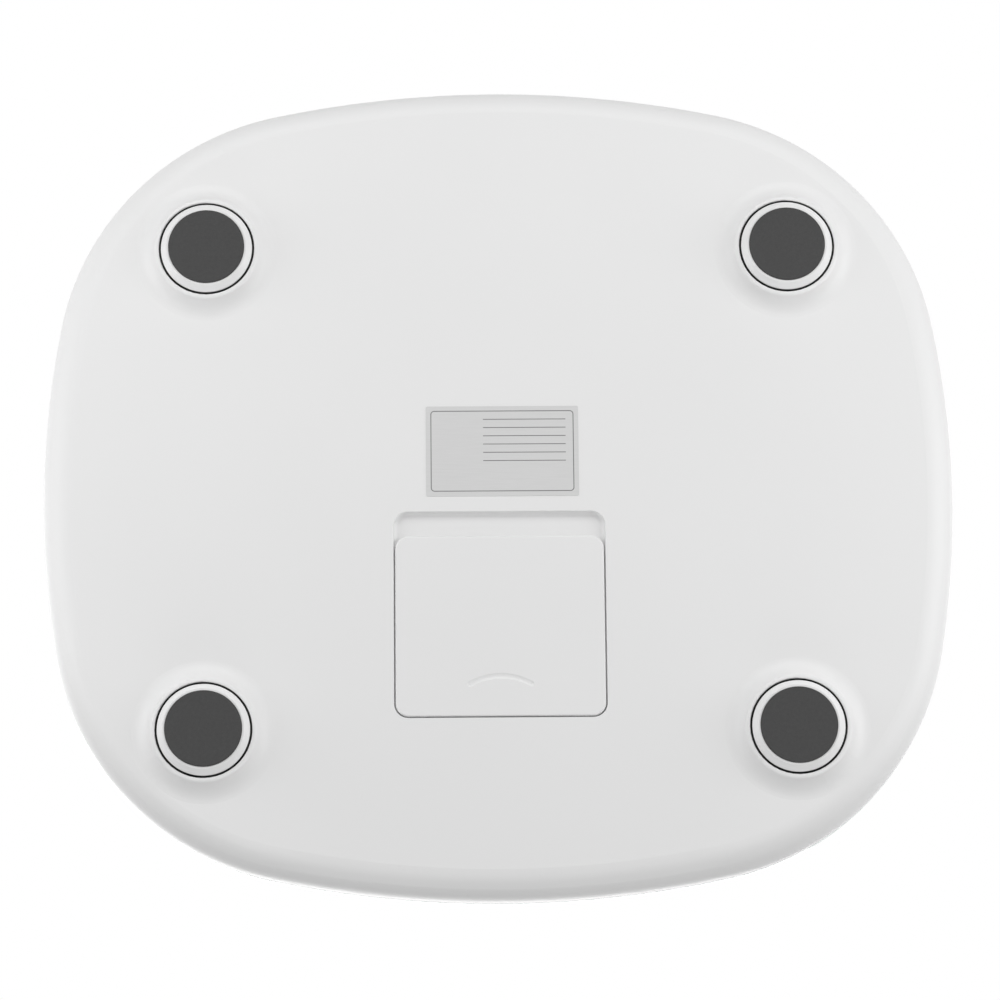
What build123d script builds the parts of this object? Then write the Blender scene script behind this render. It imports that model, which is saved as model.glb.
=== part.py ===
from build123d import *
import os
from math import acos, asin, atan2, cos, degrees, hypot, radians, sin, tan

os.makedirs("parts", exist_ok=True)

# Digital bathroom scale in millimetres: feet down, +Z up, +Y towards the display.

# Body outline: long side and end arcs run smoothly into the corner arcs
body_width = 320.0
body_depth = 293.0
side_radius = 332.0
end_radius = 376.0
corner_radius = 97.5

# Base shell
wall = 2.4
edge_slope_run = 5.8
edge_lower_radius = 9.4
edge_upper_radius = 9.2
flange_width = 8.0
flange_thickness = 2.0
rim_round = 0.5
rib_thickness = 1.8
rib_height = 8.0
rib_offset = 3.2

# Glass platform and the foam bond under its rim
glass_thickness = 5.0
glass_top_round = 1.5
glass_under_round = 0.8
bond_thickness = 0.5
bond_inset = 1.2
bond_width = 4.0

# Feet: each cap stands in a hole in the top of a low mound
foot_corner_x = 44.13
foot_corner_front = 45.53
foot_corner_back = 42.33
lip_z = 2.8
lip_thickness = 3.6
lip_round = 0.35
mound_height = 4.6
mound_slope = 60.0
mound_crown_radius = 18.3
mound_crown_round = 1.4
mound_flare = 7.5
mound_root = 4.0
cap_radius = 16.1
foot_gap = 0.75
cap_face_z = 0.6
cap_face_radius = 14.1
cap_bevel_height = 2.0
cap_round = 0.4
cap_wall = 1.8
cap_web = 1.6
cap_flange_radius = 18.0
cap_flange_thickness = 1.6
cap_seat_gap = 0.2
cap_boss_radius = 5.0
pocket_gap = 0.5
pad_radius = 13.35
pad_thickness = 1.4
pad_gap = 0.1
pad_round = 0.3

# Load cells with their holders, and the ring of shell around each
cell_size = 30.0
cell_thickness = 2.5
cell_corner = 4.0
tongue_width = 11.0
tongue_length = 21.0
tongue_slot = 2.0
gauge_length = 8.0
gauge_width = 6.0
gauge_thickness = 0.4
holder_wall = 2.8
holder_corner = 10.0
holder_window = 10.0
holder_floor = 1.5
holder_gap = 0.2
ear_offset = 23.0
ear_radius = 3.4
ear_thickness = 1.8
pod_ring_radius = 27.5
pod_ring_wall = 2.0
pod_ring_inset = 10.0
seat_height = 2.0
support_pad_inset = 0.2
support_pad_gap = 0.5

# Self-tapping screws
screw_radius = 0.9
screw_gap = 0.05
screw_length = 4.6
screw_head_radius = 2.3
screw_head_height = 1.4
screw_hole_radius = 1.2
boss_radius = 3.0
boss_skin = 1.0

# Battery door, its recess and its hooks
door_width = 73.0
door_length = 64.2
door_thickness = 2.0
door_corner = 4.6
door_round = 0.6
door_ease = 1.2
door_gap = 0.5
door_lift_gap = 0.3
door_end_inset = 63.3
door_travel = 6.4
recess_run = 8.8
recess_corner = 5.0
recess_round = 1.7
opening_round = 0.25
recess_floor = 1.8
grip_radius = 21.5
grip_chord = 21.4
grip_width = 2.0
grip_depth = 0.35
grip_from_end = 14.2
hook_x = 32.0
hook_spread = 20.0
hook_width = 3.0
hook_neck = 3.0
hook_toe = 4.5
hook_thickness = 1.5
hook_gap = 0.3

# Battery bay with four standard small cells side by side
battery_diameter = 10.5
battery_length = 44.5
battery_nub_radius = 1.9
battery_nub_length = 1.0
battery_round = 0.6
battery_count = 4
battery_pitch = 11.1
battery_gap = 0.3
bay_wall = 1.8
bay_roof = 1.2
bay_side_gap = 0.3
contact_thickness = 0.4
contact_width = 8.0
contact_height = 8.0
spring_length = 4.4
spring_radius = 2.8
spring_wire = 0.35
spring_turns = 3.0
end_gap = 0.1
tab_width = 3.0
tab_thickness = 0.5
tab_gap = 0.2

# Display and circuit board
film_width = 68.0
film_depth = 30.0
film_thickness = 0.3
film_corner = 3.0
seal_width = 3.0
seal_thickness = 0.9
display_width = 62.0
display_depth = 24.0
display_height = 6.0
digit_count = 4
digit_pitch = 13.5
digit_width = 6.5
digit_height = 14.0
segment_width = 1.6
segment_depth = 0.4
segment_trim = 0.5
board_width = 84.0
board_depth = 36.0
board_thickness = 1.6
board_end_inset = 40.5
board_screw_inset = 4.0
chip_size = 12.0
chip_height = 1.2
chip_shift_y = 6.0
connector_width = 7.0
connector_depth = 5.0
connector_clearance = 0.1
socket_gap = 1.5
socket_pitch = 15.0

# Cables and leads
cable_radius = 0.9
cable_lift = 0.05
cable_bend = 9.0
cable_run = 1.5
cable_slot_gap = 0.6
back_cable_run = 6.1
cable_row_pitch = 5.0
front_cable_run = 58.3
cable_side_gap = 3.0
lead_radius = 0.6
lead_bend = 6.0
lead_gap = 0.1
lead_pitch = 1.6
lead_first_x = 0.7
lead_drop_run = 8.0
lead_cross_run = 12.0

# Rating label, left blank
label_width = 53.6
label_depth = 32.6
label_thickness = 0.15
label_corner = 0.6
label_x = -1.3
label_gap = 5.5

# Heights that follow from the sizes above
base_z = lip_z + mound_height
floor_z = base_z + wall
door_top_z = base_z + door_thickness
recess_z = door_top_z + door_lift_gap
ledge_z = recess_z + recess_floor
battery_z = door_top_z + battery_gap + battery_diameter / 2
bay_top_z = battery_z + battery_diameter / 2 + battery_gap
rim_z = bay_top_z + bay_roof
glass_z = rim_z + bond_thickness
seat_z = floor_z + seat_height
cell_z = seat_z + holder_floor
cell_top_z = cell_z + cell_thickness
ear_top_z = seat_z + ear_thickness
board_top_z = glass_z - film_thickness - seal_thickness - display_height
board_z = board_top_z - board_thickness
connector_z = floor_z + connector_clearance
cable_z = floor_z + cable_radius + cable_lift
cable_start_z = cell_z + cell_thickness / 2
lead_high_z = ledge_z + lead_radius + lead_gap
lead_low_z = floor_z + lead_radius + lead_gap

# Centres and angles of the outline arcs, found from the circles that touch
side_centre_x = body_width / 2 - side_radius
end_centre_y = body_depth / 2 - end_radius
side_reach = side_radius - corner_radius
end_reach = end_radius - corner_radius
centre_span = hypot(side_centre_x, end_centre_y)
reach_angle = acos((centre_span**2 + side_reach**2 - end_reach**2) / (2 * centre_span * side_reach))
side_angle = atan2(end_centre_y, -side_centre_x) + reach_angle
corner_x = side_centre_x + side_reach * cos(side_angle)
corner_y = side_reach * sin(side_angle)
end_angle = atan2(corner_x, corner_y - end_centre_y)

# Places that follow from the sizes above
foot_hole_radius = cap_radius + foot_gap
pocket_radius = cap_flange_radius + pocket_gap
mound_spread = 1 / tan(radians(mound_slope))
mound_root_radius = mound_crown_radius + (mound_height + mound_root) * mound_spread
door_end_y = door_end_inset - body_depth / 2
door_y = door_end_y + door_length / 2
opening_width = door_width + 2 * door_gap
opening_length = door_length + door_gap + recess_run
opening_y = door_end_y - door_gap + opening_length / 2
opening_top_y = opening_y + opening_length / 2
bay_width = battery_pitch * battery_count + 2 * bay_side_gap
bay_length = battery_length + spring_length + 2 * contact_thickness + 2 * end_gap
board_y = body_depth / 2 - board_end_inset
board_edge_y = board_y - board_depth / 2
foot_x = corner_x + foot_corner_x
foot_front_y = -corner_y - foot_corner_front
foot_back_y = corner_y + foot_corner_back
foot_pitch_x = 2 * foot_x
foot_pitch_y = foot_back_y - foot_front_y
foot_middle_y = (foot_back_y + foot_front_y) / 2
cable_slot = 2 * cable_radius + 2 * cable_slot_gap
holder_size = cell_size + 2 * holder_gap + 2 * holder_wall
holder_side = holder_size / 2
ring_middle = pod_ring_radius + pod_ring_wall / 2
ring_reach = pod_ring_radius + pod_ring_wall
rib_x = foot_x - ring_reach - rib_offset
back_cable_x = board_width / 2 - board_screw_inset - boss_radius - socket_gap - connector_width / 2
front_cable_x = back_cable_x - socket_pitch
back_cable_y = foot_back_y - ring_reach - back_cable_run
front_cable_y = back_cable_y - cable_row_pitch
front_cable_turn_y = foot_front_y + front_cable_run
front_cable_side_x = opening_width / 2 + wall + cable_side_gap
label_y = opening_top_y + label_gap + label_depth / 2
grip_y = door_end_y + grip_from_end - grip_radius
grip_turn = degrees(asin(grip_chord / 2 / grip_radius))
grip_ball = (grip_width**2 / 4 + grip_depth**2) / (2 * grip_depth)
grip_drop = grip_ball - grip_depth

# Each foot: name, centre, and the way its cable leaves, towards the middle
feet = []
for side_name, side in (("left", -1), ("right", 1)):
    feet.append((f"front_{side_name}", side * foot_x, foot_front_y, 1))
    feet.append((f"back_{side_name}", side * foot_x, foot_back_y, -1))
foot_points = [(x, y) for _, x, y, _ in feet]
ear_points = [(x + s * ear_offset, y) for x, y in foot_points for s in (-1, 1)]
board_screw_points = [
    (sx * (board_width / 2 - board_screw_inset), board_y + sy * (board_depth / 2 - board_screw_inset))
    for sx in (-1, 1)
    for sy in (-1, 1)
]
hook_points = [(sx * hook_x, door_y + sy * hook_spread) for sx in (-1, 1) for sy in (-1, 1)]
battery_ys = [door_y + battery_pitch * (i - (battery_count - 1) / 2) for i in range(battery_count)]
terminal_ys = [battery_ys[-1], battery_ys[0]]
lead_xs = [bay_length / 2 + bay_wall + lead_gap + lead_radius + lead_pitch * i for i in range(2)]


def outline(inset):
    """Face of the body outline, moved inwards all round."""
    side_turn = degrees(side_angle)
    end_turn = degrees(end_angle)
    with BuildSketch() as face:
        with BuildLine():
            CenterArc((side_centre_x, 0), side_radius - inset, 0, side_turn)
            CenterArc((corner_x, corner_y), corner_radius - inset, side_turn, 90 - side_turn - end_turn)
            CenterArc((0, end_centre_y), end_radius - inset, 90 - end_turn, end_turn)
            mirror(about=Plane.YZ)
            mirror(about=Plane.XZ)
        make_face()
    return face.sketch


def bowl(inset, bottom_z, slope_run):
    """Solid of the outline up to the rim, with a soft curve round its lower edge."""
    with BuildPart() as solid:
        with BuildSketch(Plane.XY.offset(bottom_z)):
            add(outline(inset))
        extrude(amount=rim_z - bottom_z)
        chamfer(solid.faces().sort_by(Axis.Z)[0].edges(), slope_run)
        slope_edges = solid.edges().filter_by(
            lambda e: abs(e.center().Z - bottom_z - slope_run) < 0.01 and abs(e.tangent_at(0.5).Z) < 0.01
        )
        fillet(slope_edges, edge_upper_radius - inset)
        fillet(solid.faces().sort_by(Axis.Z)[0].edges(), edge_lower_radius - inset)
    return solid.part


def on_mound(edge):
    """True for an edge where a foot mound meets the tray."""
    point = edge @ 0.5
    reach = mound_crown_radius + (point.Z - lip_z) * mound_spread
    off = min(abs(hypot(point.X - x, point.Y - y) - reach) for x, y in foot_points)
    return off < 0.05 and point.Z > lip_z + mound_height / 2


def in_opening(edge):
    """True for an edge round the opening of the door recess."""
    point = edge @ 0.5
    return abs(point.X) < opening_width / 2 + 0.1 and abs(point.Y - opening_y) < opening_length / 2 + 0.1


def save(part, name):
    """Label a finished piece and write its file."""
    part.label = name
    export_step(part, f"parts/{name}.step")


# Base shell: rounded tray with four foot mounds, ribs, bosses and the battery bay
with BuildPart() as base_shell:
    add(bowl(0, base_z, edge_slope_run))
    with Locations(*[(x, y, lip_z) for x, y in foot_points]):
        Cone(
            mound_crown_radius,
            mound_root_radius,
            mound_height + mound_root,
            align=(Align.CENTER, Align.CENTER, Align.MIN),
        )
    fillet(base_shell.edges().filter_by(on_mound), mound_flare)
    crown_edges = base_shell.edges().filter_by(GeomType.CIRCLE).filter_by(
        lambda e: abs(e.radius - mound_crown_radius) < 0.01
    )
    fillet(crown_edges, mound_crown_round)
    add(bowl(wall, floor_z, edge_slope_run - wall * (2 - 2**0.5)), mode=Mode.SUBTRACT)
    # Inward flange that the platform is bonded to
    with BuildSketch(Plane.XY.offset(rim_z - flange_thickness)):
        add(outline(wall / 2))
        add(outline(flange_width), mode=Mode.SUBTRACT)
    extrude(amount=flange_thickness)
    # Rings round the load cells carry the platform
    with BuildSketch(Plane.XY.offset(floor_z)):
        with Locations(*foot_points):
            Circle(ring_reach)
            Circle(pod_ring_radius, mode=Mode.SUBTRACT)
        add(outline(pod_ring_inset), mode=Mode.INTERSECT)
    extrude(amount=rim_z - floor_z)
    # Raised seats for the load cells
    with BuildSketch(Plane.XY.offset(floor_z)):
        with Locations(*foot_points):
            RectangleRounded(holder_size, holder_size, holder_corner)
    extrude(amount=seat_height)
    # Ribs join the rings
    with BuildSketch(Plane.XY.offset(floor_z)):
        with Locations((0, foot_front_y), (0, foot_back_y)):
            Rectangle(foot_pitch_x - 2 * ring_middle, rib_thickness)
        with Locations((-rib_x, foot_middle_y), (rib_x, foot_middle_y)):
            Rectangle(rib_thickness, foot_pitch_y)
    extrude(amount=rib_height)
    # Bosses for the screws
    with BuildSketch(Plane.XY.offset(floor_z)):
        with Locations(*ear_points):
            Circle(boss_radius)
    extrude(amount=seat_height)
    with BuildSketch(Plane.XY.offset(floor_z)):
        with Locations(*board_screw_points):
            Circle(boss_radius)
    extrude(amount=board_z - floor_z)
    # Floor of the door recess and walls and roof of the battery bay
    with BuildSketch(Plane.XY.offset(base_z)):
        with Locations((0, opening_y)):
            RectangleRounded(opening_width + 2 * wall, opening_length + 2 * wall, recess_corner + wall)
    extrude(amount=ledge_z - base_z)
    with BuildSketch(Plane.XY.offset(recess_z)):
        with Locations((0, door_y)):
            Rectangle(bay_length + 2 * bay_wall, bay_width + 2 * bay_wall)
    extrude(amount=rim_z - recess_z)
    # Door recess, bay and hook slots are cut from below
    with BuildSketch(Plane.XY.offset(base_z)):
        with Locations((0, opening_y)):
            RectangleRounded(opening_width, opening_length, recess_corner)
    extrude(amount=recess_z - base_z, mode=Mode.SUBTRACT)
    recess_face = base_shell.faces().filter_by_position(Axis.Z, recess_z, recess_z).sort_by(SortBy.AREA)[-1]
    fillet(recess_face.outer_wire().edges(), recess_round)
    opening_edges = base_shell.edges().filter_by_position(Axis.Z, base_z, base_z).filter_by(in_opening)
    fillet(opening_edges, opening_round)
    with BuildSketch(Plane.XY.offset(recess_z)):
        with Locations((0, door_y)):
            Rectangle(bay_length, bay_width)
    extrude(amount=bay_top_z - recess_z, mode=Mode.SUBTRACT)
    with BuildSketch(Plane.XY.offset(recess_z)):
        with Locations(*[(x, y + door_travel / 2) for x, y in hook_points]):
            Rectangle(hook_width + 2 * hook_gap, hook_neck + door_travel + 2 * hook_gap)
    extrude(amount=recess_floor, mode=Mode.SUBTRACT)
    # Holes for the foot caps and pockets for their flanges
    with BuildSketch(Plane.XY.offset(lip_z + lip_thickness)):
        with Locations(*foot_points):
            Circle(pocket_radius)
    extrude(amount=seat_z - lip_z - lip_thickness, mode=Mode.SUBTRACT)
    with BuildSketch(Plane.XY.offset(lip_z)):
        with Locations(*foot_points):
            Circle(foot_hole_radius)
    extrude(amount=lip_thickness, mode=Mode.SUBTRACT)
    lip_edges = base_shell.edges().filter_by(GeomType.CIRCLE).filter_by(
        lambda e: abs(e.radius - foot_hole_radius) < 0.01 and abs(e.center().Z - lip_z) < 0.01
    )
    fillet(lip_edges, lip_round)
    # Screw holes
    with BuildSketch(Plane.XY.offset(floor_z - wall + boss_skin)):
        with Locations(*ear_points):
            Circle(screw_radius + screw_gap)
    extrude(amount=seat_height + wall - boss_skin, mode=Mode.SUBTRACT)
    with BuildSketch(Plane.XY.offset(floor_z - wall + boss_skin)):
        with Locations(*board_screw_points):
            Circle(screw_radius + screw_gap)
    extrude(amount=board_z - floor_z + wall - boss_skin, mode=Mode.SUBTRACT)
    # Notches that let the cables through the rings and ribs
    with BuildSketch(Plane.XY.offset(floor_z)):
        with Locations(*[(x, y + way * ring_middle) for _, x, y, way in feet]):
            Rectangle(cable_slot, 2 * pod_ring_wall)
        with Locations(*[(s * rib_x, y) for s in (-1, 1) for y in (front_cable_turn_y, back_cable_y)]):
            Rectangle(2 * rib_thickness, cable_slot)
        with Locations((0, foot_back_y)):
            Rectangle(2 * back_cable_x + 2 * cable_slot, 2 * rib_thickness)
    extrude(amount=cable_slot, mode=Mode.SUBTRACT)
    # Slits for the two contact tabs
    with BuildSketch(Plane.XY.offset(lead_high_z - tab_thickness / 2 - tab_gap)):
        with Locations(*[(bay_length / 2 + bay_wall / 2, y) for y in terminal_ys]):
            Rectangle(2 * bay_wall, tab_width + 2 * tab_gap)
    extrude(amount=tab_thickness + 2 * tab_gap, mode=Mode.SUBTRACT)
    # Eased outer edge of the rim
    rim_edges = base_shell.faces().sort_by(Axis.Z)[-1].outer_wire().edges()
    fillet(rim_edges, rim_round)
save(base_shell.part, "base_shell")

# Glass platform
with BuildPart() as platform_glass:
    with BuildSketch(Plane.XY.offset(glass_z)):
        add(outline(0))
    extrude(amount=glass_thickness)
    fillet(platform_glass.faces().sort_by(Axis.Z)[-1].edges(), glass_top_round)
    fillet(platform_glass.faces().sort_by(Axis.Z)[0].edges(), glass_under_round)
save(platform_glass.part, "platform_glass")

# Foam bond between rim and platform
with BuildPart() as rim_bond:
    with BuildSketch(Plane.XY.offset(rim_z)):
        add(outline(bond_inset))
        add(outline(bond_inset + bond_width), mode=Mode.SUBTRACT)
    extrude(amount=bond_thickness)
save(rim_bond.part, "rim_bond")

# Foam rings between the pod rings and the platform
with BuildPart() as support_pads:
    with BuildSketch(Plane.XY.offset(rim_z)):
        with Locations(*foot_points):
            Circle(ring_reach - support_pad_inset)
            Circle(pod_ring_radius + support_pad_inset, mode=Mode.SUBTRACT)
        add(outline(pod_ring_inset + support_pad_gap), mode=Mode.INTERSECT)
    extrude(amount=bond_thickness)
save(support_pads.part, "support_pads")

# Feet, load cells, holders and cables, one of each at every corner
for foot_name, x, y, way in feet:
    outward = 1 if x > 0 else -1
    upright = Plane(origin=(x, y, 0), x_dir=(1, 0, 0), z_dir=(0, -1, 0))
    flange_z = lip_z + lip_thickness + cap_seat_gap

    # Cap: bevelled rim, inner flange that keeps it in, boss that presses the load cell
    with BuildPart() as foot_cap:
        with BuildSketch(upright):
            with BuildLine():
                Polyline(
                    (0, pad_thickness),
                    (pad_radius + pad_gap, pad_thickness),
                    (pad_radius + pad_gap, cap_face_z),
                    (cap_face_radius, cap_face_z),
                    (cap_radius, cap_face_z + cap_bevel_height),
                    (cap_radius, flange_z),
                    (cap_flange_radius, flange_z),
                    (cap_flange_radius, flange_z + cap_flange_thickness),
                    (cap_radius - cap_wall, flange_z + cap_flange_thickness),
                    (cap_radius - cap_wall, pad_thickness + cap_web),
                    (cap_boss_radius, pad_thickness + cap_web),
                    (cap_boss_radius, cell_z),
                    (0, cell_z),
                    close=True,
                )
            make_face()
        revolve(axis=Axis((x, y, 0), (0, 0, 1)))
        bevel_edges = foot_cap.edges().filter_by(GeomType.CIRCLE).filter_by(
            lambda e: abs(e.center().Z - cap_face_z - cap_bevel_height) < 0.01
        )
        fillet(bevel_edges, cap_round)
    save(foot_cap.part, f"foot_cap_{foot_name}")

    # Rubber pad glued into the cap
    with BuildPart() as foot_pad:
        with BuildSketch(Plane((x, y, 0))):
            Circle(pad_radius)
        extrude(amount=pad_thickness)
        fillet(foot_pad.faces().sort_by(Axis.Z)[0].edges(), pad_round)
    save(foot_pad.part, f"foot_pad_{foot_name}")

    # Load cell: square steel plate with a bending tongue in the middle
    with BuildPart() as load_cell:
        with BuildSketch(Plane((x, y, cell_z))):
            RectangleRounded(cell_size, cell_size, cell_corner)
            with Locations((0, -way * tongue_slot / 2)):
                Rectangle(tongue_width + 2 * tongue_slot, tongue_length + tongue_slot, mode=Mode.SUBTRACT)
            Rectangle(tongue_width, tongue_length)
        extrude(amount=cell_thickness)
    save(load_cell.part, f"load_cell_{foot_name}")

    # Holder: a cup screwed to the tray that carries the load cell
    with BuildPart() as cell_holder:
        with BuildSketch(Plane((x, y, seat_z))):
            RectangleRounded(holder_size, holder_size, holder_corner)
        extrude(amount=cell_top_z - seat_z)
        with BuildSketch(Plane((x, y, seat_z))):
            Rectangle(2 * ear_offset, 2 * ear_radius)
            with Locations((-ear_offset, 0), (ear_offset, 0)):
                Circle(ear_radius)
        extrude(amount=ear_thickness)
        with BuildSketch(Plane((x, y, cell_z))):
            RectangleRounded(cell_size + 2 * holder_gap, cell_size + 2 * holder_gap, cell_corner)
        extrude(amount=cell_thickness, mode=Mode.SUBTRACT)
        with BuildSketch(Plane((x, y, seat_z))):
            Circle(holder_window)
            with Locations((-ear_offset, 0), (ear_offset, 0)):
                Circle(screw_hole_radius)
        extrude(amount=ear_thickness, mode=Mode.SUBTRACT)
        with BuildSketch(Plane((x, y + way * holder_side, cell_z))):
            Rectangle(cable_slot, holder_size - cell_size)
        extrude(amount=cell_thickness, mode=Mode.SUBTRACT)
    save(cell_holder.part, f"cell_holder_{foot_name}")

    # Cable from the load cell along the floor to the circuit board
    start_y = y + way * cell_size / 2
    if way > 0:
        turns = [
            (x, front_cable_turn_y, cable_z),
            (outward * front_cable_side_x, front_cable_turn_y, cable_z),
            (outward * front_cable_side_x, front_cable_y, cable_z),
            (outward * front_cable_x, front_cable_y, cable_z),
            (outward * front_cable_x, board_edge_y, cable_z),
        ]
    else:
        turns = [
            (x, back_cable_y, cable_z),
            (outward * back_cable_x, back_cable_y, cable_z),
            (outward * back_cable_x, board_edge_y, cable_z),
        ]
    with BuildPart() as cell_cable:
        with BuildLine() as route:
            FilletPolyline(
                (x, start_y, cable_start_z),
                (x, y + way * (holder_side + cable_run), cable_start_z),
                (x, y + way * (pod_ring_radius - cable_run), cable_z),
                *turns,
                radius=cable_bend,
            )
        with BuildSketch(Plane(origin=route.line @ 0, z_dir=route.line % 0)):
            Circle(cable_radius)
        sweep()
    save(cell_cable.part, f"cell_cable_{foot_name}")

# Strain gauges on the load cell tongues
with BuildPart() as strain_gauges:
    for _, x, y, way in feet:
        with BuildSketch(Plane((x, y + way * (tongue_length / 2 - gauge_length / 2), cell_top_z))):
            Rectangle(gauge_width, gauge_length)
        extrude(amount=gauge_thickness)
save(strain_gauges.part, "strain_gauges")

# Screws of the load cell holders
with BuildPart() as holder_screws:
    with BuildSketch(Plane.XY.offset(ear_top_z)):
        with Locations(*ear_points):
            Circle(screw_head_radius)
    extrude(amount=screw_head_height)
    with BuildSketch(Plane.XY.offset(ear_top_z)):
        with Locations(*ear_points):
            Circle(screw_radius)
    extrude(amount=-screw_length)
save(holder_screws.part, "holder_screws")

# Battery door: flush plate with a thumb groove and four hooks
with BuildPart() as battery_door:
    with BuildSketch(Plane.XY.offset(base_z)):
        with Locations((0, door_y)):
            RectangleRounded(door_width, door_length, door_corner)
    extrude(amount=door_thickness)
    fillet(battery_door.faces().sort_by(Axis.Z)[0].edges(), door_round)
    fillet(battery_door.faces().sort_by(Axis.Z)[-1].edges(), door_ease)
    with BuildLine(Plane.XY.offset(base_z - grip_drop)) as grip:
        CenterArc((0, grip_y), grip_radius, 90 - grip_turn, 2 * grip_turn)
    with BuildSketch(Plane(origin=grip.line @ 0, z_dir=grip.line % 0)):
        Circle(grip_ball)
    sweep(path=grip.line, mode=Mode.SUBTRACT)
    with Locations(grip.line @ 0, grip.line @ 1):
        Sphere(grip_ball, mode=Mode.SUBTRACT)
    with BuildSketch(Plane.XY.offset(door_top_z)):
        with Locations(*hook_points):
            Rectangle(hook_width, hook_neck)
    extrude(amount=ledge_z + hook_gap + hook_thickness - door_top_z)
    with BuildSketch(Plane.XY.offset(ledge_z + hook_gap)):
        with Locations(*[(hx, hy + hook_neck / 2) for hx, hy in hook_points]):
            Rectangle(hook_width, hook_neck + hook_toe, align=(Align.CENTER, Align.MAX))
    extrude(amount=hook_thickness)
save(battery_door.part, "battery_door")

# Batteries, each turned the other way from its neighbour
for i, cell_y in enumerate(battery_ys):
    facing = 1 if i % 2 else -1
    can_end = bay_length / 2 - contact_thickness - end_gap - battery_nub_length
    can_length = battery_length - battery_nub_length
    with BuildPart() as battery:
        with BuildSketch(Plane(origin=(facing * can_end, cell_y, battery_z), z_dir=(facing, 0, 0))):
            Circle(battery_diameter / 2)
        extrude(amount=-can_length)
        fillet(battery.edges().filter_by(GeomType.CIRCLE), battery_round)
        with BuildSketch(Plane(origin=(facing * can_end, cell_y, battery_z), z_dir=(facing, 0, 0))):
            Circle(battery_nub_radius)
        extrude(amount=battery_nub_length)
    save(battery.part, f"battery_{i + 1}")

# Springs that press the flat ends
with BuildPart() as contact_springs:
    for i, cell_y in enumerate(battery_ys):
        facing = 1 if i % 2 else -1
        coil_rise = spring_length - 2 * spring_wire
        with BuildLine() as coil:
            Helix(
                coil_rise / spring_turns,
                coil_rise,
                spring_radius,
                center=(-facing * (bay_length / 2 - contact_thickness - spring_wire), cell_y, battery_z),
                direction=(facing, 0, 0),
            )
        with BuildSketch(Plane(origin=coil.line @ 0, z_dir=coil.line % 0)):
            Circle(spring_wire)
        sweep(path=coil.line, is_frenet=True)
save(contact_springs.part, "contact_springs")

# Contact plates: bridges between neighbours and two end plates with solder tabs
with BuildPart() as contact_plates:
    left_plane = Plane(origin=(-bay_length / 2, 0, battery_z), x_dir=(0, 1, 0), z_dir=(1, 0, 0))
    right_plane = Plane(origin=(bay_length / 2, 0, battery_z), x_dir=(0, -1, 0), z_dir=(-1, 0, 0))
    with BuildSketch(left_plane):
        with Locations(*[((battery_ys[i] + battery_ys[i + 1]) / 2, 0) for i in range(0, battery_count, 2)]):
            Rectangle(battery_pitch + contact_width, contact_height)
    extrude(amount=contact_thickness)
    with BuildSketch(right_plane):
        pair_ys = [(battery_ys[i] + battery_ys[i + 1]) / 2 for i in range(1, battery_count - 1, 2)]
        with Locations(*[(-pair_y, 0) for pair_y in pair_ys]):
            Rectangle(battery_pitch + contact_width, contact_height)
        with Locations(*[(-y, 0) for y in terminal_ys]):
            Rectangle(contact_width, contact_height)
    extrude(amount=contact_thickness)
    for lead_x, terminal_y in zip(lead_xs, terminal_ys):
        tab_end = lead_x + lead_radius
        with BuildSketch(Plane.XY.offset(lead_high_z - tab_thickness / 2)):
            with Locations((tab_end, terminal_y)):
                Rectangle(tab_end - bay_length / 2, tab_width, align=(Align.MAX, Align.CENTER))
        extrude(amount=tab_thickness)
save(contact_plates.part, "contact_plates")

# Leads from the contact tabs to the circuit board
slab_end_y = opening_top_y + wall
for i, lead_name in enumerate(("plus", "minus")):
    lead_start_y = terminal_ys[i] + tab_width / 2
    lead_end_x = lead_first_x + lead_pitch * i
    lead_turn_y = slab_end_y + lead_drop_run + lead_pitch * i
    with BuildPart() as battery_lead:
        with BuildLine() as route:
            FilletPolyline(
                (lead_xs[i], lead_start_y, lead_high_z),
                (lead_xs[i], slab_end_y, lead_high_z),
                (lead_xs[i], lead_turn_y, lead_low_z),
                (lead_end_x, lead_turn_y + lead_cross_run, lead_low_z),
                (lead_end_x, board_edge_y, lead_low_z),
                radius=lead_bend,
            )
        with BuildSketch(Plane(origin=route.line @ 0, z_dir=route.line % 0)):
            Circle(lead_radius)
        sweep()
    save(battery_lead.part, f"battery_lead_{lead_name}")

# Circuit board
with BuildPart() as main_board:
    with BuildSketch(Plane.XY.offset(board_z)):
        with Locations((0, board_y)):
            Rectangle(board_width, board_depth)
        with Locations(*board_screw_points):
            Circle(screw_hole_radius, mode=Mode.SUBTRACT)
    extrude(amount=board_thickness)
save(main_board.part, "main_board")

# Screws of the circuit board
with BuildPart() as board_screws:
    with BuildSketch(Plane.XY.offset(board_top_z)):
        with Locations(*board_screw_points):
            Circle(screw_head_radius)
    extrude(amount=screw_head_height)
    with BuildSketch(Plane.XY.offset(board_top_z)):
        with Locations(*board_screw_points):
            Circle(screw_radius)
    extrude(amount=-screw_length)
save(board_screws.part, "board_screws")

# Controller chip under the board
with BuildPart() as controller_chip:
    with BuildSketch(Plane.XY.offset(board_z)):
        with Locations((0, board_y + chip_shift_y)):
            Rectangle(chip_size, chip_size)
    extrude(amount=-chip_height)
save(controller_chip.part, "controller_chip")

# Plug sockets along the edge of the board
with BuildPart() as wire_connectors:
    lead_middle_x = lead_first_x + lead_pitch / 2
    with BuildSketch(Plane.XY.offset(connector_z)):
        for socket_x in (-back_cable_x, -front_cable_x, lead_middle_x, front_cable_x, back_cable_x):
            with Locations((socket_x, board_edge_y)):
                Rectangle(connector_width, connector_depth, align=(Align.CENTER, Align.MIN))
    extrude(amount=board_z - connector_z)
save(wire_connectors.part, "wire_connectors")

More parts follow.
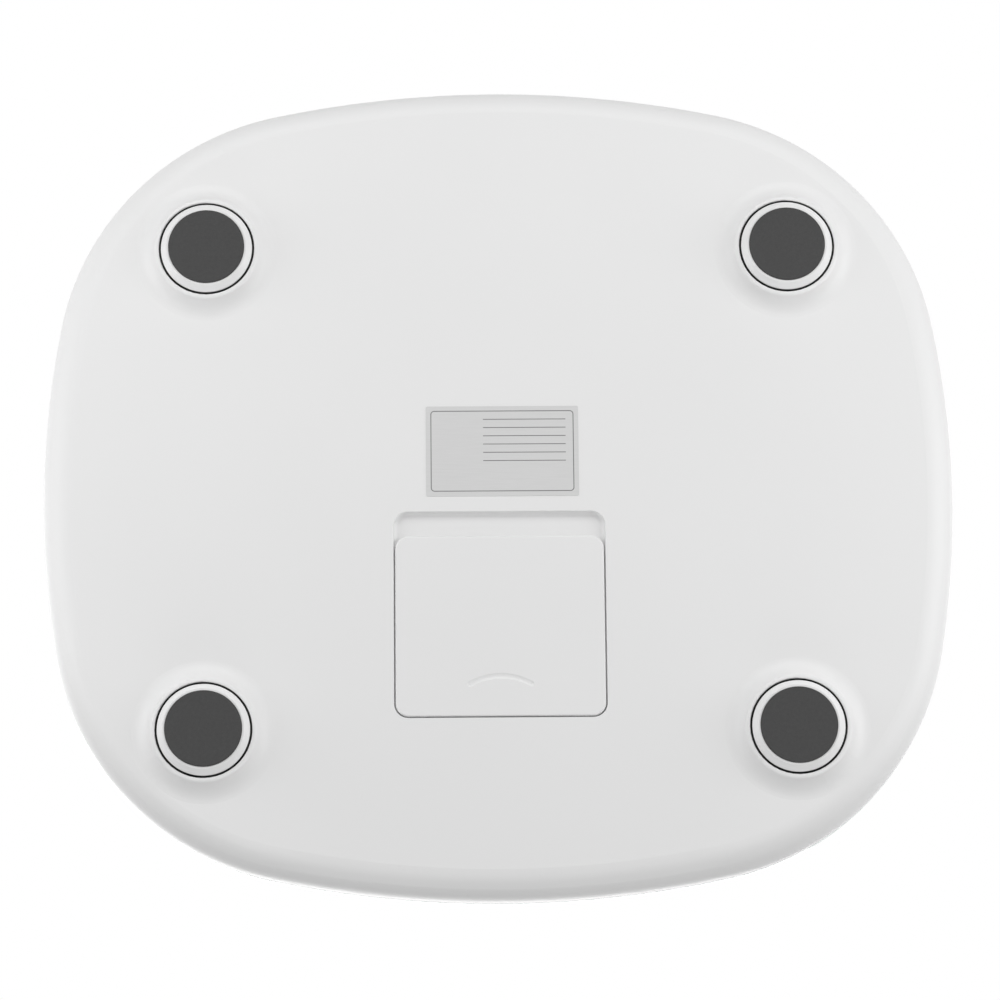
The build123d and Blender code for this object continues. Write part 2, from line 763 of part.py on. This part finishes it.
# Display block with its number segments
with BuildPart() as led_display:
    with BuildSketch(Plane.XY.offset(board_top_z)):
        with Locations((0, board_y)):
            Rectangle(display_width, display_depth)
    extrude(amount=display_height)
    with BuildSketch(Plane.XY.offset(board_top_z + display_height)):
        for i in range(digit_count):
            digit_x = digit_pitch * (i - (digit_count - 1) / 2)
            with Locations(*[(digit_x, board_y + row * digit_height / 2) for row in (-1, 0, 1)]):
                SlotOverall(digit_width - segment_width - segment_trim, segment_width)
            with Locations(
                *[
                    (digit_x + column * digit_width / 2, board_y + row * digit_height / 4)
                    for column in (-1, 1)
                    for row in (-1, 1)
                ]
            ):
                SlotOverall(digit_height / 2 - segment_width - segment_trim, segment_width, rotation=90)
    extrude(amount=-segment_depth, mode=Mode.SUBTRACT)
save(led_display.part, "led_display")

# Foam frame that seals the display against the platform
with BuildPart() as display_seal:
    with BuildSketch(Plane.XY.offset(board_top_z + display_height)):
        with Locations((0, board_y)):
            Rectangle(display_width, display_depth)
            Rectangle(display_width - 2 * seal_width, display_depth - 2 * seal_width, mode=Mode.SUBTRACT)
    extrude(amount=seal_thickness)
save(display_seal.part, "display_seal")

# Dark filter film under the platform
with BuildPart() as display_film:
    with BuildSketch(Plane.XY.offset(glass_z - film_thickness)):
        with Locations((0, board_y)):
            RectangleRounded(film_width, film_depth, film_corner)
    extrude(amount=film_thickness)
save(display_film.part, "display_film")

# Blank label on the underside
with BuildPart() as rating_label:
    with BuildSketch(Plane.XY.offset(base_z - label_thickness)):
        with Locations((label_x, label_y)):
            RectangleRounded(label_width, label_depth, label_corner)
    extrude(amount=label_thickness)
save(rating_label.part, "rating_label")
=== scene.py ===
# %% [markdown]
# # A digital bathroom scale, seen from below
# The photograph looks at the underside of a low white bathroom scale: four round feet, a sticker
# and a battery door. The solids come from the CAD model, in metres and standing on their feet.
# This lesson dresses them piece by piece, and then sets up the light and the camera.

# %% Load the solids
import math

import bpy
from mathutils import Matrix, Vector

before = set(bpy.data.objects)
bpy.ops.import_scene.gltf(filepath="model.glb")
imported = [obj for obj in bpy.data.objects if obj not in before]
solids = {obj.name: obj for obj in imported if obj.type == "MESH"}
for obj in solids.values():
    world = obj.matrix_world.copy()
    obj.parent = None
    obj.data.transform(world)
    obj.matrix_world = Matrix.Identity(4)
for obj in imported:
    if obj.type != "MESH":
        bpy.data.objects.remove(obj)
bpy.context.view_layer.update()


# %% [markdown]
# ## Building a finish
# A finish is a small graph: texture nodes work out numbers, and one Principled shader turns them
# into a surface. A graph can be clicked together in the shader editor, but there are more than
# twenty finishes here, so three short helpers start a graph, add a node to it, and put the finish
# on the solids.

# %% Helpers for finishes
def start_finish(name, roughness, metallic=0.0):
    finish = bpy.data.materials.new(name)
    finish.use_nodes = True
    tree = finish.node_tree
    shader = tree.nodes["Principled BSDF"]
    shader.inputs["Roughness"].default_value = roughness
    shader.inputs["Metallic"].default_value = metallic
    return finish, tree, shader


def add_node(tree, kind, joins=(), **values):
    node = tree.nodes.new(kind)
    for key, value in values.items():
        setattr(node, key, value)
    for socket, value in joins:
        if isinstance(value, bpy.types.NodeSocket):
            tree.links.new(value, node.inputs[socket])
        else:
            node.inputs[socket].default_value = value
    return node


def paint(finish, *starts):
    names = [name for name in solids if name.startswith(starts)]
    for name in names:
        solids[name].data.materials.clear()
        solids[name].data.materials.append(finish)
    print(finish.name, "on", len(names), "solids")


print("helpers that start, extend and apply a finish")

# %% [markdown]
# ## Grain
# Nearly every surface of the scale has some unevenness: cloudy tone, a fine moulded grain, a
# roughness that is not quite the same everywhere. All three can come from one noise texture. It
# reads Object coordinates, so the grain is a fixed size in metres and stays on the piece when the
# piece moves. Noise seldom leaves the middle of its range, so that part is spread out.

# %% Helpers for grain
noise_low, noise_high = 0.3, 0.7


def where(tree):
    return add_node(tree, "ShaderNodeTexCoord").outputs["Object"]


def grain(tree, size, detail=2.0, stretch=(1, 1, 1)):
    factors = [(0, where(tree)), (1, stretch)]
    scaled = add_node(tree, "ShaderNodeVectorMath", factors, operation="MULTIPLY")
    settings = [("Vector", scaled.outputs[0]), ("Scale", 1 / size), ("Detail", detail)]
    return add_node(tree, "ShaderNodeTexNoise", settings).outputs["Fac"]


def rescale(tree, value, start, end, low=0.0, high=1.0):
    taken = [("Value", value), ("From Min", start), ("From Max", end)]
    given = [("To Min", low), ("To Max", high)]
    return add_node(tree, "ShaderNodeMapRange", taken + given).outputs["Result"]


def spread(tree, value, low=0.0, high=1.0):
    return rescale(tree, value, noise_low, noise_high, low, high)


print("noise from", noise_low, "to", noise_high, "is spread over the whole range")

# %% [markdown]
# ## Colour and relief
# Two more helpers put the grain to use. One mixes two colours by a number, and the other raises the
# surface by it. A Mix node has a set of sockets for each kind of value it can mix, and those for
# colours are found by their place in the list. Relief could be real geometry, but the grain of a
# moulding is only a few microns high, and a bump is enough for that.

# %% Helpers for colour and relief
mix_share, mix_first, mix_second, mix_result = 0, 6, 7, 2


def grey(level):
    return (level, level, level)


def dimmed(tone, share):
    return tuple(c * share for c in tone)


def blend(tree, share, first, second):
    colours = [c if isinstance(c, bpy.types.NodeSocket) else (*c, 1) for c in (first, second)]
    joins = zip((mix_share, mix_first, mix_second), (share, *colours))
    return add_node(tree, "ShaderNodeMix", joins, data_type="RGBA").outputs[mix_result]


def emboss(tree, shader, value, height):
    levels = [("Height", value), ("Distance", height), ("Strength", 1.0)]
    bump = add_node(tree, "ShaderNodeBump", levels)
    tree.links.new(bump.outputs["Normal"], shader.inputs["Normal"])


print("helpers for colour and relief")

# %% [markdown]
# ## Painted shade in the foot gaps
# A narrow gap runs round each foot, and in the photograph it is nearly black: little light gets
# into it. A separate dark ring could be modelled, but it would have to squeeze into a gap that
# changes as the foot moves. Here the plastic itself is painted dark deep in the gap, as painted
# shade. Two numbers say where that is: the distance from the nearest foot, in plan, and the height
# above the floor.

# %% Where the foot gaps are
foot_side, foot_front, foot_back = 0.1027, -0.0883, 0.0851
gap_middle, gap_start, gap_deep = 0.0165, 0.0029, 0.0036


def sums(tree, operation, first, second=0.0, third=0.0):
    parts = [(0, first), (1, second), (2, third)]
    return add_node(tree, "ShaderNodeMath", parts, operation=operation).outputs[0]


def length(tree, across, along):
    squares = sums(tree, "MULTIPLY_ADD", across, across, sums(tree, "MULTIPLY", along, along))
    return sums(tree, "SQRT", squares)


# Painted shade: a mask that is one deep in the gap round each foot and nothing elsewhere.
def painted_gap_shade(tree, reach):
    place = add_node(tree, "ShaderNodeSeparateXYZ", [(0, where(tree))]).outputs
    across = sums(tree, "SUBTRACT", sums(tree, "ABSOLUTE", place["X"]), foot_side)
    to_front = sums(tree, "ABSOLUTE", sums(tree, "SUBTRACT", place["Y"], foot_front))
    to_back = sums(tree, "ABSOLUTE", sums(tree, "SUBTRACT", place["Y"], foot_back))
    from_foot = length(tree, across, sums(tree, "MINIMUM", to_front, to_back))
    from_gap = sums(tree, "ABSOLUTE", sums(tree, "SUBTRACT", from_foot, gap_middle))
    near = sums(tree, "LESS_THAN", from_gap, reach)
    return sums(tree, "MULTIPLY", near, rescale(tree, place["Z"], gap_start, gap_deep))


# The print gives the height where the painted shade starts in the gap.
print("dust from", 1000 * gap_start, "mm up in the gap round each foot")

# %% [markdown]
# ## White moulded plastic
# The tray, the door and the foot caps are white plastic with the fine satin grain of a spark-eroded
# mould. A glossy white would mirror the lamps, so the shader is rough. The tone drifts very
# slightly over the large tray, as it does where the plastic cools unevenly.

# %% White plastic
cloud_size, cloud_shade, satin_play = 0.09, 0.985, 0.04
# The dark tone of the painted shade deep in the foot gaps.
gap_shade_tone = grey(0.012)


def moulded(name, tone, roughness, grain_size, grain_height, gap_shade_reach=0.0):
    finish, tree, shader = start_finish(name, roughness)
    cloud = spread(tree, grain(tree, cloud_size))
    colour = blend(tree, cloud, tone, dimmed(tone, cloud_shade))
    # Deep in a foot gap the colour is painted dark: painted shade.
    if gap_shade_reach:
        colour = blend(tree, painted_gap_shade(tree, gap_shade_reach), colour, gap_shade_tone)
    tree.links.new(colour, shader.inputs["Base Color"])
    fine = grain(tree, grain_size)
    satin = spread(tree, fine, roughness - satin_play, roughness + satin_play)
    tree.links.new(satin, shader.inputs["Roughness"])
    emboss(tree, shader, fine, grain_height)
    return finish


# The tray and the foot caps get painted shade deep in the foot gaps.
paint(moulded("shell_white", grey(0.80), 0.48, 0.0005, 0.000004, 0.0006), "base_shell")
paint(moulded("door_white", grey(0.80), 0.48, 0.0005, 0.000004), "battery_door")
paint(moulded("cap_white", grey(0.83), 0.40, 0.0006, 0.000003, 0.0016), "foot_cap")

# %% [markdown]
# ## Grey rubber pads
# A thin disc of dark grey rubber is glued into each foot cap so that the scale does not slide.
# Rubber scatters light in all directions and has a dusty, slightly mottled look, so two sizes of
# noise are added: broad blotches in the colour and a close grain in the surface.

# %% Rubber
blotch_size, blotch_detail, blotch_shade = 0.0012, 3.0, 0.86
rubber_roughness, rubber_play = 0.75, 0.07


def rubber(name, tone, grain_size, grain_height):
    finish, tree, shader = start_finish(name, rubber_roughness)
    blotches = spread(tree, grain(tree, blotch_size, blotch_detail))
    colour = blend(tree, blotches, tone, dimmed(tone, blotch_shade))
    tree.links.new(colour, shader.inputs["Base Color"])
    fine = grain(tree, grain_size)
    dull = spread(tree, fine, rubber_roughness - rubber_play, rubber_roughness + rubber_play)
    tree.links.new(dull, shader.inputs["Roughness"])
    emboss(tree, shader, fine, grain_height)
    return finish


paint(rubber("pad_grey", grey(0.040), 0.0003, 0.000012), "foot_pad")

# %% [markdown]
# ## Shapes drawn by distance
# The sticker has a printed frame and the glass has a dark window. Both are rectangles with round
# corners, painted flat. They could be image textures, but a distance does it with no picture at
# all: fold the surface to one quarter with an absolute value, and measure how far each point is
# from the rectangle.

# %% Distance helpers
def flat_place(tree, centre):
    places = [(0, where(tree)), (1, (*centre, 0))]
    moved = add_node(tree, "ShaderNodeVectorMath", places, operation="SUBTRACT")
    axes = add_node(tree, "ShaderNodeSeparateXYZ", [(0, moved.outputs[0])])
    return axes.outputs[0], axes.outputs[1], axes.outputs[2]


def box_distance(tree, across, along, width, depth, corner=0.0):
    out_x = sums(tree, "SUBTRACT", sums(tree, "ABSOLUTE", across), width / 2 - corner)
    out_y = sums(tree, "SUBTRACT", sums(tree, "ABSOLUTE", along), depth / 2 - corner)
    far_x = sums(tree, "MAXIMUM", out_x, 0.0)
    far_y = sums(tree, "MAXIMUM", out_y, 0.0)
    outside = length(tree, far_x, far_y)
    inside = sums(tree, "MINIMUM", sums(tree, "MAXIMUM", out_x, out_y), 0.0)
    return sums(tree, "SUBTRACT", sums(tree, "ADD", outside, inside), corner)


def inside_edge(tree, distance, soft=0.00008):
    return rescale(tree, distance, soft, -soft)


print("helpers that draw by distance")

# %% [markdown]
# ## The sticker
# A silver grey foil sticker sits above the door. It stays blank here, apart from a thin frame and
# ruled lines such as a blank form has. The foil has a faint brushed streak, made by stretching the
# noise along one direction. The frame is where the distance from a rectangle is close to nothing.

# %% Sticker foil and frame
label_centre = (-0.0013, 0.01163)
brush_size, brush_detail, brushed = 0.0006, 3.0, (0.06, 1, 1)
border_width, border_depth, border_corner = 0.0500, 0.0290, 0.0012
line_half, line_soft = 0.00014, 0.00005
finish, tree, shader = start_finish("label_grey", 0.42)
across, along, _ = flat_place(tree, label_centre)
streak = spread(tree, grain(tree, brush_size, brush_detail, brushed))
foil = blend(tree, streak, grey(0.650), grey(0.625))
border = box_distance(tree, across, along, border_width, border_depth, border_corner)
border = sums(tree, "SUBTRACT", sums(tree, "ABSOLUTE", border), line_half)
ink = inside_edge(tree, border, line_soft)
print("sticker frame in mm:", 1000 * border_width, "by", 1000 * border_depth)

# %% [markdown]
# ## Ruled lines
# The lines of the form repeat at one pitch. Each could be a rectangle of its own, but a ping-pong
# runs back and forth between two values, so it folds the surface once per line and one thin
# rectangle draws them all. Two limits keep the lines to the upper part of the sticker.

# %% Sticker lines
rule_pitch, first_rule, last_rule = 0.0030, 0.0115, -0.0035
rule_shift, rule_length, rule_weight = 0.0078, 0.0290, 0.00026
rule_side = sums(tree, "ADD", across, rule_shift)
steps = sums(tree, "PINGPONG", sums(tree, "SUBTRACT", along, last_rule), rule_pitch / 2)
rule = inside_edge(tree, box_distance(tree, rule_side, steps, rule_length, rule_weight), line_soft)
above_last = sums(tree, "GREATER_THAN", along, last_rule - rule_pitch / 4)
below_first = sums(tree, "LESS_THAN", along, first_rule + rule_pitch / 4)
ruled = sums(tree, "MULTIPLY", above_last, below_first)
ink = sums(tree, "MAXIMUM", ink, sums(tree, "MULTIPLY", rule, ruled))
tree.links.new(blend(tree, ink, foil, grey(0.10)), shader.inputs["Base Color"])
tree.links.new(spread(tree, streak, 0.36, 0.46), shader.inputs["Roughness"])
paint(finish, "rating_label")

# %% [markdown]
# ## The glass platform
# People stand on a plate of glass that is painted white from below, with a clear window over the
# display. Real glass with paint under it would need two layers. One glossy, nearly smooth shader
# looks the same from outside. At the rim, light that travels inside the plate comes out a little
# green, so the colour shifts with the height of the point on the edge.

# %% Glass with its display window
window_centre = (0.0, 0.106)
window_width, window_depth, window_corner = 0.062, 0.024, 0.003
white_from, green_from, mist_size = 0.0271, 0.0252, 0.05
finish, tree, shader = start_finish("glass_white", 0.06)
across, along, height = flat_place(tree, window_centre)
mist = spread(tree, grain(tree, mist_size))
white = blend(tree, mist, (0.83, 0.84, 0.84), (0.815, 0.825, 0.825))
white = blend(tree, rescale(tree, height, white_from, green_from), white, (0.66, 0.76, 0.72))
window = box_distance(tree, across, along, window_width, window_depth, window_corner)
window = inside_edge(tree, window)
print("window in mm:", 1000 * window_width, "by", 1000 * window_depth)

# %% [markdown]
# ## Sleeping digits
# When a display is off, its segments still show as slightly paler bars. Four digits are four copies
# of one figure of eight, and the eight is the same left and right and above and below. So the
# surface is folded: once per digit, then by absolute values, and three short bars are enough to
# draw all twenty-eight.

# %% Unlit segments
digit_pitch, digit_height, digit_width, bar = 0.0135, 0.0140, 0.0065, 0.0016
row_half = 2 * digit_pitch
digit_x = sums(tree, "FLOORED_MODULO", sums(tree, "ADD", across, row_half), digit_pitch)
digit_x = sums(tree, "SUBTRACT", digit_x, digit_pitch / 2)
fold_y = sums(tree, "ABSOLUTE", along)
side_x = sums(tree, "SUBTRACT", sums(tree, "ABSOLUTE", digit_x), digit_width / 2)
side_y = sums(tree, "SUBTRACT", fold_y, digit_height / 4)
top_y = sums(tree, "SUBTRACT", fold_y, digit_height / 2)
bars = box_distance(tree, side_x, side_y, bar, digit_height / 2 - bar)
for level_y in (top_y, along):
    level_bar = box_distance(tree, digit_x, level_y, digit_width - bar, bar)
    bars = sums(tree, "MINIMUM", bars, level_bar)
in_row = sums(tree, "LESS_THAN", sums(tree, "ABSOLUTE", across), row_half)
segments = sums(tree, "MULTIPLY", inside_edge(tree, bars), in_row)
smoked = blend(tree, segments, (0.018, 0.018, 0.020), (0.040, 0.040, 0.042))
print("digits", 1000 * digit_height, "mm tall")

# %% [markdown]
# ## Polish of the glass
# The white, the window and its digits now go on one surface. A thin clear coat adds the second,
# sharper reflection that glass has over paint.

# %% Coat of the glass
smear_size = 0.03
tree.links.new(blend(tree, window, white, smoked), shader.inputs["Base Color"])
tree.links.new(spread(tree, grain(tree, smear_size), 0.04, 0.09), shader.inputs["Roughness"])
shader.inputs["Coat Weight"].default_value = 0.4
shader.inputs["Coat Roughness"].default_value = 0.03
paint(finish, "platform_glass")

# %% [markdown]
# ## Foam
# A strip of white foam tape bonds the glass to the tray, and a black frame of foam seals the
# display. Foam is full of little cells, and Voronoi noise is made of cells, so its distance is used
# as the height. The colour is darker where the cells are low, as painted shade in the pores.

# %% Foam
foam_roughness, pore_size, pore_painted_shade = 0.9, 0.0004, 0.8


def foam(name, tone):
    finish, tree, shader = start_finish(name, foam_roughness)
    settings = [("Vector", where(tree)), ("Scale", 1 / pore_size)]
    pores = add_node(tree, "ShaderNodeTexVoronoi", settings).outputs["Distance"]
    # The colour is darker low in each cell: painted shade in the pores.
    colour = blend(tree, pores, dimmed(tone, pore_painted_shade), tone)
    tree.links.new(colour, shader.inputs["Base Color"])
    emboss(tree, shader, pores, pore_size / 4)
    return finish


paint(foam("foam_white", (0.78, 0.78, 0.77)), "rim_bond", "support_pads")
paint(foam("foam_black", grey(0.035)), "display_seal")

# %% [markdown]
# ## Metal parts
# The load cells are stamped from steel sheet, the screws are zinc plated and the battery contacts
# are nickel plated. A metal has no colour of its own apart from its reflection, so what tells them
# apart is the base tone and the roughness. Rolled sheet is streaky: its noise is stretched along
# the roll.

# %% Metals
streak_size, streak_detail, streak_shade, polish_play = 0.0008, 3.0, 0.85, 0.08
rolled, even, drawn = (0.05, 1, 1), (1, 1, 1), (1, 1, 0.2)


def metal(name, tone, roughness, stretch, streak_height):
    finish, tree, shader = start_finish(name, roughness, 1.0)
    streak = grain(tree, streak_size, streak_detail, stretch)
    colour = blend(tree, spread(tree, streak), tone, dimmed(tone, streak_shade))
    tree.links.new(colour, shader.inputs["Base Color"])
    polish = spread(tree, streak, roughness - polish_play, roughness + polish_play)
    tree.links.new(polish, shader.inputs["Roughness"])
    emboss(tree, shader, streak, streak_height)
    return finish


paint(metal("cell_steel", (0.62, 0.62, 0.64), 0.35, rolled, 0.000004), "load_cell")
zinc = metal("screw_steel", (0.55, 0.55, 0.56), 0.30, even, 0.000003)
paint(zinc, "holder_screws", "board_screws")
paint(metal("contact_nickel", (0.70, 0.70, 0.68), 0.25, drawn, 0.000003), "contact_")

# %% [markdown]
# ## Batteries
# The four cells lie across the bay. Each has a printed wrap, plain here, with a bare metal end. The
# wrap stops a little short of both ends, so the distance from the middle of the bay decides which
# of the two finishes shows.

# %% Battery wrap
bay_centre, wrap_half = (0.0, 0.0), 0.0212
scuff_size, scuff_detail = 0.002, 4.0
finish, tree, shader = start_finish("battery_case", 0.32)
across, _, _ = flat_place(tree, bay_centre)
bare = sums(tree, "GREATER_THAN", sums(tree, "ABSOLUTE", across), wrap_half)
scuff = spread(tree, grain(tree, scuff_size, scuff_detail))
wrap = blend(tree, scuff, (0.10, 0.12, 0.15), (0.12, 0.14, 0.17))
tree.links.new(blend(tree, bare, wrap, (0.68, 0.68, 0.66)), shader.inputs["Base Color"])
tree.links.new(bare, shader.inputs["Metallic"])
tree.links.new(spread(tree, scuff, 0.26, 0.40), shader.inputs["Roughness"])
paint(finish, "battery_1", "battery_2", "battery_3", "battery_4")

# %% [markdown]
# ## Cables and leads
# Thin cables run from the load cells to the circuit board, and two leads bring the battery current.
# Their sheaths are soft extruded plastic with a slight sheen, and rubber with less grain fits that
# well.

# %% Sheaths
paint(rubber("cable_grey", grey(0.20), 0.0004, 0.000004), "cell_cable")
paint(rubber("lead_red", (0.45, 0.03, 0.03), 0.0004, 0.000003), "battery_lead_plus")
paint(rubber("lead_black", grey(0.03), 0.0004, 0.000003), "battery_lead_minus")

# %% [markdown]
# ## Moulded parts inside
# The holders of the load cells, the sockets, the chip and the block of the display are all moulded.
# They get the same satin finish as the tray in their own colours. So does the dark film over the
# display, only smoother.

# %% Inner mouldings
paint(moulded("holder_white", (0.78, 0.78, 0.76), 0.50, 0.0007, 0.000005), "cell_holder")
paint(moulded("connector_white", (0.80, 0.79, 0.74), 0.35, 0.0006, 0.000003), "wire_connectors")
paint(moulded("chip_black", (0.030, 0.030, 0.032), 0.55, 0.0003, 0.000004), "controller_chip")
paint(moulded("display_grey", (0.30, 0.30, 0.31), 0.50, 0.0005, 0.000003), "led_display")
paint(moulded("film_dark", (0.020, 0.020, 0.022), 0.20, 0.0008, 0.000001), "display_film")

# %% [markdown]
# ## Circuit board
# The board is green solder mask over copper. Where a track runs below the mask, the green is paler.
# A brick texture with thin mortar gives runs of parallel lines that break and step, much as tracks
# do.

# %% Solder mask
weave_size, track_height = 0.0008, 0.00002
finish, tree, shader = start_finish("board_green", 0.35)
runs = [("Vector", where(tree)), ("Scale", 90.0)]
run_shape = [("Mortar Size", 0.05), ("Brick Width", 0.9), ("Row Height", 0.12)]
tracks = add_node(tree, "ShaderNodeTexBrick", runs + run_shape).outputs["Fac"]
weave = spread(tree, grain(tree, weave_size))
mask = blend(tree, weave, (0.030, 0.170, 0.075), (0.035, 0.190, 0.085))
tree.links.new(blend(tree, tracks, mask, (0.070, 0.290, 0.140)), shader.inputs["Base Color"])
tree.links.new(spread(tree, weave, 0.30, 0.42), shader.inputs["Roughness"])
emboss(tree, shader, tracks, track_height)
paint(finish, "main_board")

# %% [markdown]
# ## Strain gauges
# Each gauge is an amber film with a fine metal wire folded back and forth in it. The wire is
# thinner than a hair, so it is not modelled: a wave texture with narrow bands is the wire, and the
# film is metallic only there.

# %% Gauge film
amber_size, wire_level = 0.001, 0.6
finish, tree, shader = start_finish("gauge_film", 0.30)
folds = [("Vector", where(tree)), ("Scale", 400.0), ("Distortion", 0.3)]
waves = add_node(tree, "ShaderNodeTexWave", folds, bands_direction="X").outputs["Fac"]
wire = sums(tree, "GREATER_THAN", waves, wire_level)
amber = blend(tree, grain(tree, amber_size), (0.50, 0.28, 0.07), (0.56, 0.33, 0.10))
tree.links.new(blend(tree, wire, amber, (0.66, 0.56, 0.42)), shader.inputs["Base Color"])
tree.links.new(wire, shader.inputs["Metallic"])
paint(finish, "strain_gauges")
unpainted = [name for name in solids if not solids[name].data.materials]
print("solids with no finish:", unpainted)

# %% [markdown]
# ## The floor
# The scale stands on a plain pale floor, which shows its shadow when it is looked at from above.
# The photograph looks from below, where a floor would hide everything. So the floor is one-sided:
# the Geometry node tells which side of a face is seen, and the back of the floor is clear. Shadow
# rays, diffuse rays and mirror rays pass through it, so the lamps below it reach the scale.

# %% One-sided floor
floor_side, floor_cloud = 8, 0.3
bpy.ops.mesh.primitive_plane_add(size=floor_side, location=(0, 0, 0))
floor = bpy.context.object
floor.name = "floor"
finish, tree, shader = start_finish("floor_pale", 0.8)
cloud = spread(tree, grain(tree, floor_cloud))
tree.links.new(blend(tree, cloud, grey(0.73), grey(0.74)), shader.inputs["Base Color"])
below = add_node(tree, "ShaderNodeNewGeometry").outputs["Backfacing"]
clear = add_node(tree, "ShaderNodeBsdfTransparent").outputs[0]
sides = [(0, below), (1, shader.outputs[0]), (2, clear)]
either = add_node(tree, "ShaderNodeMixShader", sides).outputs[0]
tree.links.new(either, tree.nodes["Material Output"].inputs["Surface"])
floor.data.materials.append(finish)
for ray in ("visible_shadow", "visible_diffuse", "visible_glossy"):
    setattr(floor, ray, False)
print("floor", floor.dimensions[0], "m square, clear from below")

# %% [markdown]
# ## The white surround
# The background of the photograph is pure white, and raising the light until it is white would
# bleach the scale. The world can tell who is asking: rays from the camera, mirror rays and rays
# through glass see white, while the rays that light the scale see a dimmer grey.

# %% World
ambient_strength = 0.37
world = bpy.data.worlds.new("surround")
bpy.context.scene.world = world
world.use_nodes = True
tree = world.node_tree
ambient = tree.nodes["Background"]
ambient.inputs["Color"].default_value = (*grey(1), 1)
ambient.inputs["Strength"].default_value = ambient_strength
backdrop = [("Color", (*grey(1), 1)), ("Strength", 1.0)]
backdrop = add_node(tree, "ShaderNodeBackground", backdrop).outputs[0]
path = add_node(tree, "ShaderNodeLightPath").outputs
seen = sums(tree, "MAXIMUM", path["Is Camera Ray"], path["Is Glossy Ray"])
seen = sums(tree, "MAXIMUM", seen, path["Is Transmission Ray"])
sides = [(0, seen), (1, ambient.outputs[0]), (2, backdrop)]
either = add_node(tree, "ShaderNodeMixShader", sides).outputs[0]
tree.links.new(either, tree.nodes["World Output"].inputs["Surface"])
print("ambient light", ambient_strength)

# %% [markdown]
# ## Lamps
# The shading of the photograph says where its lamps were. Both sides of the tray are brighter than
# its flat middle, so a soft lamp stands close to either side, and a second one on the right. The
# far end is brighter than the near one, so a strong lamp stands beyond it, and two weaker ones in
# front keep the near edge from going dark. Two behind the scale catch its outline, and one above
# the floor lights the platform. All of them are large, because the shadows round the feet are soft.

# %% Softboxes
scale_middle = Vector((0, 0, 0.015))


def softbox(name, place, size, watts):
    data = bpy.data.lights.new(name, "AREA")
    data.shape = "RECTANGLE"
    data.size, data.size_y = size
    data.energy = watts
    lamp = bpy.data.objects.new(name, data)
    bpy.context.collection.objects.link(lamp)
    lamp.location = place
    lamp.visible_camera = False
    lamp.rotation_euler = (scale_middle - Vector(place)).to_track_quat("-Z", "Y").to_euler()
    print(name, watts, "W at", place)


softbox("far_box", (0, 0.75, -0.75), (1.0, 0.5), 4.5)
softbox("near_box", (0, -1.1, -0.9), (1.2, 0.7), 0.8)
softbox("near_low", (0, -1.5, -0.3), (1.2, 0.4), 3.3)
softbox("left_box", (0.5, 0.03, -0.21), (0.3, 0.38), 0.92)
softbox("right_box", (-0.5, 0.03, -0.21), (0.3, 0.38), 0.48)
softbox("right_fill", (-0.75, 0, -0.45), (0.5, 0.7), 1.7)
softbox("left_rim", (0.8, 0, 0.6), (0.5, 0.9), 2.1)
softbox("right_rim", (-0.8, 0, 0.6), (0.5, 0.9), 1.1)
softbox("top_box", (0.3, -0.6, 2.0), (1.6, 1.6), 22)

# %% [markdown]
# ## Where the camera looks from
# The photograph looks up at the scale from below its near edge, about fourteen degrees off square.
# The small yaw and roll are how the scale lay under the camera. A camera can be turned by angles,
# but three directions at right angles are easier to check: from the scale to the camera, to the top
# of the picture and to its right.

# %% Directions of the view
tilt, yaw, roll = (math.radians(angle) for angle in (14.43, -0.91, -0.56))
ahead = math.cos(yaw)
toward = Vector((-math.sin(yaw), -math.sin(tilt) * ahead, -math.cos(tilt) * ahead))
far_end = Vector((0, 1, 0))
upward = (far_end - far_end.dot(toward) * toward).normalized()
sideways = upward.cross(toward)
right = math.cos(roll) * sideways + math.sin(roll) * upward
top = -math.sin(roll) * sideways + math.cos(roll) * upward
print("from the scale to the camera:", [round(c, 3) for c in toward])

# %% [markdown]
# ## The lens
# The outline of the scale hardly tapers in the photograph, so the camera stands a good way off and
# has a long lens. The lens is shifted a little, because the scale is not quite in the middle of the
# picture, and turning the camera instead would change the view of it.

# %% Camera
aim, camera_distance = Vector((0, -0.0016, 0.0028)), 1.6422
camera_data = bpy.data.cameras.new("camera")
camera_data.sensor_width = 36
camera_data.lens = 169.2
camera_data.shift_x = 0.0009
camera_data.shift_y = -0.0158
camera_data.clip_end = 50
camera = bpy.data.objects.new("camera", camera_data)
bpy.context.collection.objects.link(camera)
turn = Matrix((right, top, toward)).transposed().to_4x4()
camera.matrix_world = Matrix.Translation(aim + camera_distance * toward) @ turn
bpy.context.scene.camera = camera
bpy.context.scene.view_settings.view_transform = "Standard"
print("camera at", [round(c, 3) for c in camera.location])
